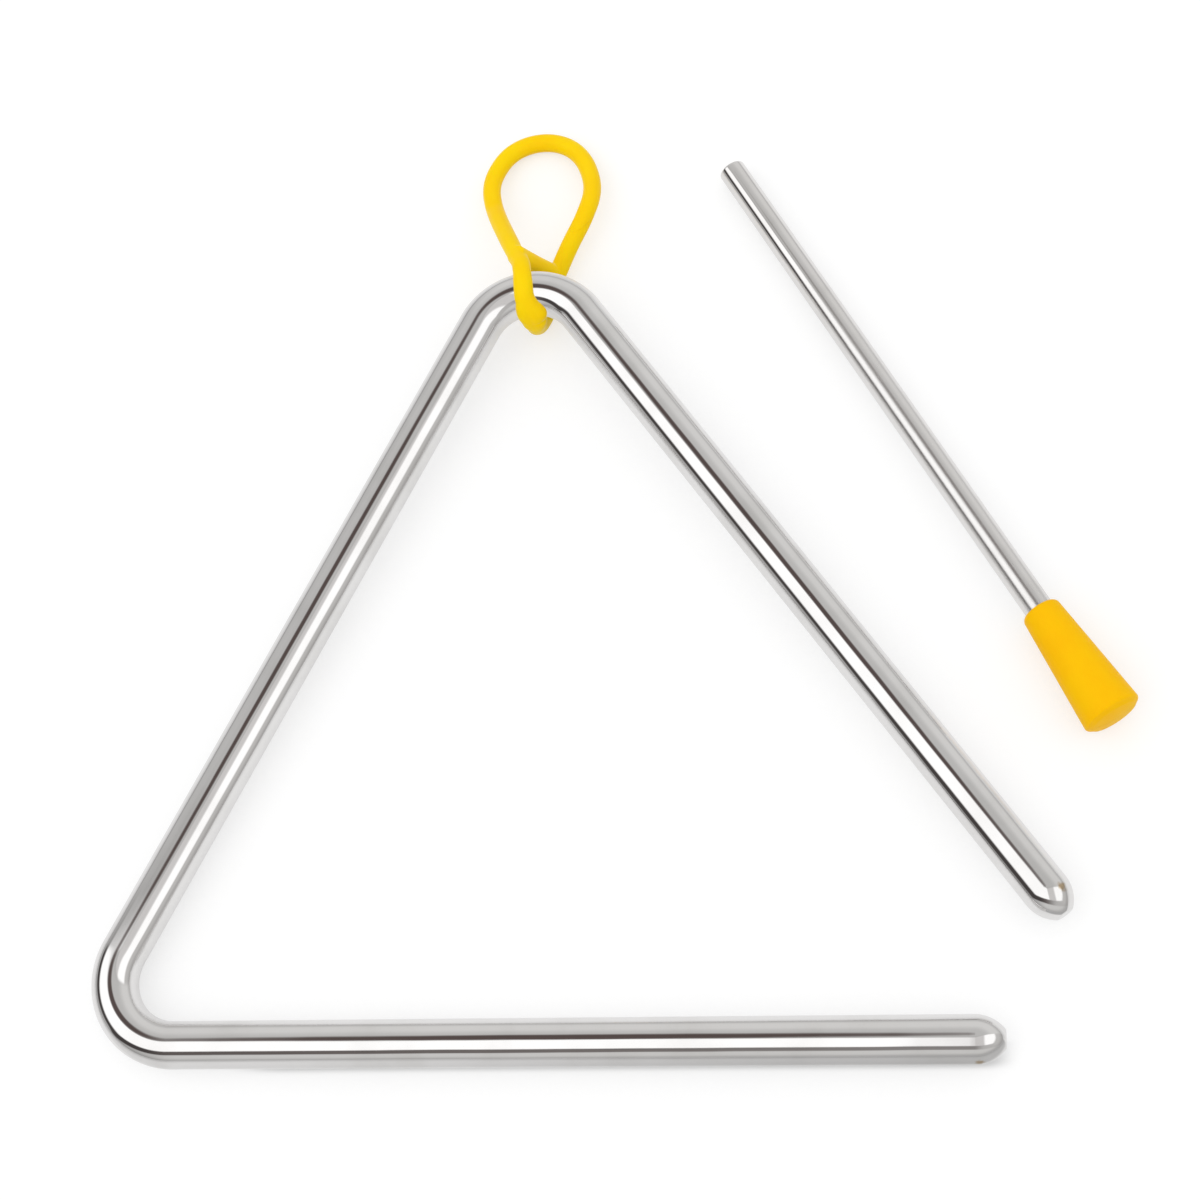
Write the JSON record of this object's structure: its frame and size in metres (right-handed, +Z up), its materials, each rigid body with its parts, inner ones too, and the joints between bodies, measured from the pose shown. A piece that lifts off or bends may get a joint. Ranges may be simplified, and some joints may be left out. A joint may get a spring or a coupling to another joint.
{
  "type": "triangle instrument with striker",
  "caption": "Bent steel triangle, open at one corner, hung on a moulded finger loop, with a steel striker that has a tapered grip.",
  "frame": {"origin": "on the table, under the middle of the box round the triangle, its hanger and the striker", "axes": "+Z up from the table, +X along the bottom leg towards the open corner, +Y towards the bend that carries the hanger"},
  "size_m": [0.1768, 0.1772, 0.0158],
  "materials": {
    "triangle_chrome": "bright chrome plate over bent steel rod",
    "yellow_hanger": "soft moulded plastic, satin gloss",
    "striker_chrome": "bright nickel plate over steel rod",
    "yellow_grip": "moulded plastic, satin gloss"
  },
  "bodies": {
    "triangle": {"triangle_rod": "triangle_chrome"},
    "hanger": {"hanging_loop": "yellow_hanger"},
    "striker": {"striker_rod": "striker_chrome", "striker_grip": "yellow_grip"}
  },
  "joints": [
    {"name": "hanger_swing", "type": "hinge", "parent": "triangle", "child": "hanger", "pos_m": [-0.01521, 0.05149, 0.00794], "axis": [1, 0, 0], "continuous": true},
    {"name": "striker_lift", "type": "slide", "parent": "triangle", "child": "striker", "axis": [0, 0, 1], "range_m": [0, 0.15]}
  ]
}
